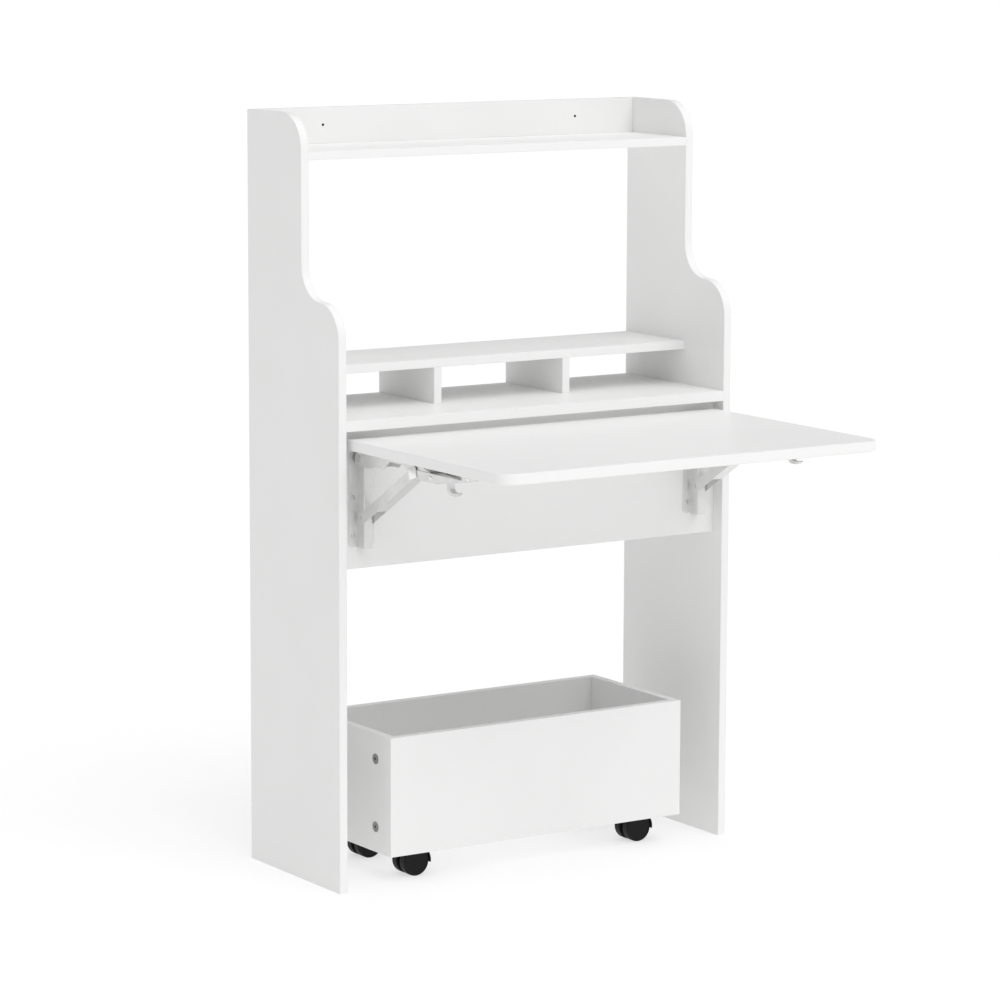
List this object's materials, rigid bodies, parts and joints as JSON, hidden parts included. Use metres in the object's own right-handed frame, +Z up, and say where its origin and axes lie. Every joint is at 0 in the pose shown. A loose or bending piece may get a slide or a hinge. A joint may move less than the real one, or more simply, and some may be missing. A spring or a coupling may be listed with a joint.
{
  "type": "secretary desk",
  "caption": "Secretary desk: shaped side panels, shelves and pigeonholes over a fold-down table on locking brackets, with a rolling storage box below.",
  "frame": {"origin": "on the floor, under the middle of the desk's box with its table open", "axes": "+X to the user's right, -Y towards the user, +Z up"},
  "size_m": [0.8, 0.76, 1.3],
  "materials": {
    "white_board": "white melamine on chipboard",
    "bracket_steel": "pale grey coated",
    "fastener_steel": "zinc plated",
    "cam_zinc": "cast zinc",
    "dowel_wood": "raw beech",
    "caster_plastic": "black moulded",
    "wheel_plastic": "black moulded"
  },
  "bodies": {
    "frame": {"side_panel_left": "white_board", "side_panel_right": "white_board", "top_shelf": "white_board", "top_rail": "white_board", "middle_shelf": "white_board", "lower_shelf": "white_board", "divider_left": "white_board", "divider_right": "white_board", "bracket_panel": "white_board", "cam_bolts": "fastener_steel", "cam_nuts": "cam_zinc", "wood_dowels": "dowel_wood", "divider_screws": "fastener_steel", "wall_plate_left": "bracket_steel", "wall_plate_right": "bracket_steel", "wall_plate_screws": "fastener_steel", "table_hinge_pins": "fastener_steel", "brace_pivot_pins": "fastener_steel"},
    "table": {"table_top": "white_board", "bracket_arm_left": "bracket_steel", "bracket_arm_right": "bracket_steel", "bracket_arm_screws": "fastener_steel"},
    "brace_left": {"brace_left": "bracket_steel", "slider_pin_left": "fastener_steel"},
    "slider_left": {"slider_left": "bracket_steel", "lever_pin_left": "fastener_steel", "lever_spring_left": "fastener_steel"},
    "lever_left": {"release_lever_left": "bracket_steel"},
    "brace_right": {"brace_right": "bracket_steel", "slider_pin_right": "fastener_steel"},
    "slider_right": {"slider_right": "bracket_steel", "lever_pin_right": "fastener_steel", "lever_spring_right": "fastener_steel"},
    "lever_right": {"release_lever_right": "bracket_steel"},
    "storage_box": {"box_front": "white_board", "box_back": "white_board", "box_side_left": "white_board", "box_side_right": "white_board", "box_bottom": "white_board", "box_cam_bolts": "fastener_steel", "box_cam_nuts": "cam_zinc", "box_dowels": "dowel_wood", "caster_plates": "fastener_steel", "caster_screws": "fastener_steel"},
    "caster_front_left": {"caster_hood_front_left": "caster_plastic"},
    "wheels_front_left": {"caster_wheels_front_left": "wheel_plastic", "caster_axle_front_left": "fastener_steel"},
    "caster_front_right": {"caster_hood_front_right": "caster_plastic"},
    "wheels_front_right": {"caster_wheels_front_right": "wheel_plastic", "caster_axle_front_right": "fastener_steel"},
    "caster_back_left": {"caster_hood_back_left": "caster_plastic"},
    "wheels_back_left": {"caster_wheels_back_left": "wheel_plastic", "caster_axle_back_left": "fastener_steel"},
    "caster_back_right": {"caster_hood_back_right": "caster_plastic"},
    "wheels_back_right": {"caster_wheels_back_right": "wheel_plastic", "caster_axle_back_right": "fastener_steel"}
  },
  "joints": [
    {"name": "table_fold", "type": "hinge", "parent": "frame", "child": "table", "pos_m": [0, 0.09, 0.734], "axis": [1, 0, 0], "range_deg": [0, 90]},
    {"name": "brace_left_swing", "type": "hinge", "parent": "frame", "child": "brace_left", "pos_m": [-0.342, 0.09, 0.633], "axis": [1, 0, 0], "range_deg": [0, 119.4]},
    {"name": "slider_left_tilt", "type": "hinge", "parent": "brace_left", "child": "slider_left", "pos_m": [-0.342, -0.088, 0.742], "axis": [1, 0, 0], "range_deg": [-29.4, 0]},
    {"name": "lever_left_press", "type": "hinge", "parent": "slider_left", "child": "lever_left", "pos_m": [-0.342, -0.116, 0.732], "axis": [-1, 0, 0], "range_deg": [0, 10], "stiffness_Nm_per_rad": 3, "springref_deg": -5.73},
    {"name": "brace_right_swing", "type": "hinge", "parent": "frame", "child": "brace_right", "pos_m": [0.342, 0.09, 0.633], "axis": [1, 0, 0], "range_deg": [0, 119.4]},
    {"name": "slider_right_tilt", "type": "hinge", "parent": "brace_right", "child": "slider_right", "pos_m": [0.342, -0.088, 0.742], "axis": [1, 0, 0], "range_deg": [-29.4, 0]},
    {"name": "lever_right_press", "type": "hinge", "parent": "slider_right", "child": "lever_right", "pos_m": [0.342, -0.116, 0.732], "axis": [-1, 0, 0], "range_deg": [0, 10], "stiffness_Nm_per_rad": 3, "springref_deg": -5.73},
    {"name": "box_roll", "type": "slide", "parent": "frame", "child": "storage_box", "axis": [0, -1, 0], "range_m": [0, 0.45]},
    {"name": "caster_front_left_swivel", "type": "hinge", "parent": "storage_box", "child": "caster_front_left", "pos_m": [-0.232, 0.14, 0.06], "axis": [0, 0, 1], "continuous": true},
    {"name": "caster_front_left_roll", "type": "hinge", "parent": "caster_front_left", "child": "wheels_front_left", "pos_m": [-0.224, 0.14, 0.025], "axis": [0, 1, 0], "continuous": true},
    {"name": "caster_front_right_swivel", "type": "hinge", "parent": "storage_box", "child": "caster_front_right", "pos_m": [0.232, 0.14, 0.06], "axis": [0, 0, 1], "continuous": true},
    {"name": "caster_front_right_roll", "type": "hinge", "parent": "caster_front_right", "child": "wheels_front_right", "pos_m": [0.24, 0.14, 0.025], "axis": [0, 1, 0], "continuous": true},
    {"name": "caster_back_left_swivel", "type": "hinge", "parent": "storage_box", "child": "caster_back_left", "pos_m": [-0.232, 0.291, 0.06], "axis": [0, 0, 1], "continuous": true},
    {"name": "caster_back_left_roll", "type": "hinge", "parent": "caster_back_left", "child": "wheels_back_left", "pos_m": [-0.224, 0.291, 0.025], "axis": [0, 1, 0], "continuous": true},
    {"name": "caster_back_right_swivel", "type": "hinge", "parent": "storage_box", "child": "caster_back_right", "pos_m": [0.232, 0.291, 0.06], "axis": [0, 0, 1], "continuous": true},
    {"name": "caster_back_right_roll", "type": "hinge", "parent": "caster_back_right", "child": "wheels_back_right", "pos_m": [0.24, 0.291, 0.025], "axis": [0, 1, 0], "continuous": true}
  ],
  "couplings": [
    {"joint": "brace_left_swing", "follows": "table_fold", "ratio": 1.3254},
    {"joint": "slider_left_tilt", "follows": "table_fold", "ratio": -0.32539},
    {"joint": "brace_right_swing", "follows": "table_fold", "ratio": 1.3254},
    {"joint": "slider_right_tilt", "follows": "table_fold", "ratio": -0.32539}
  ]
}
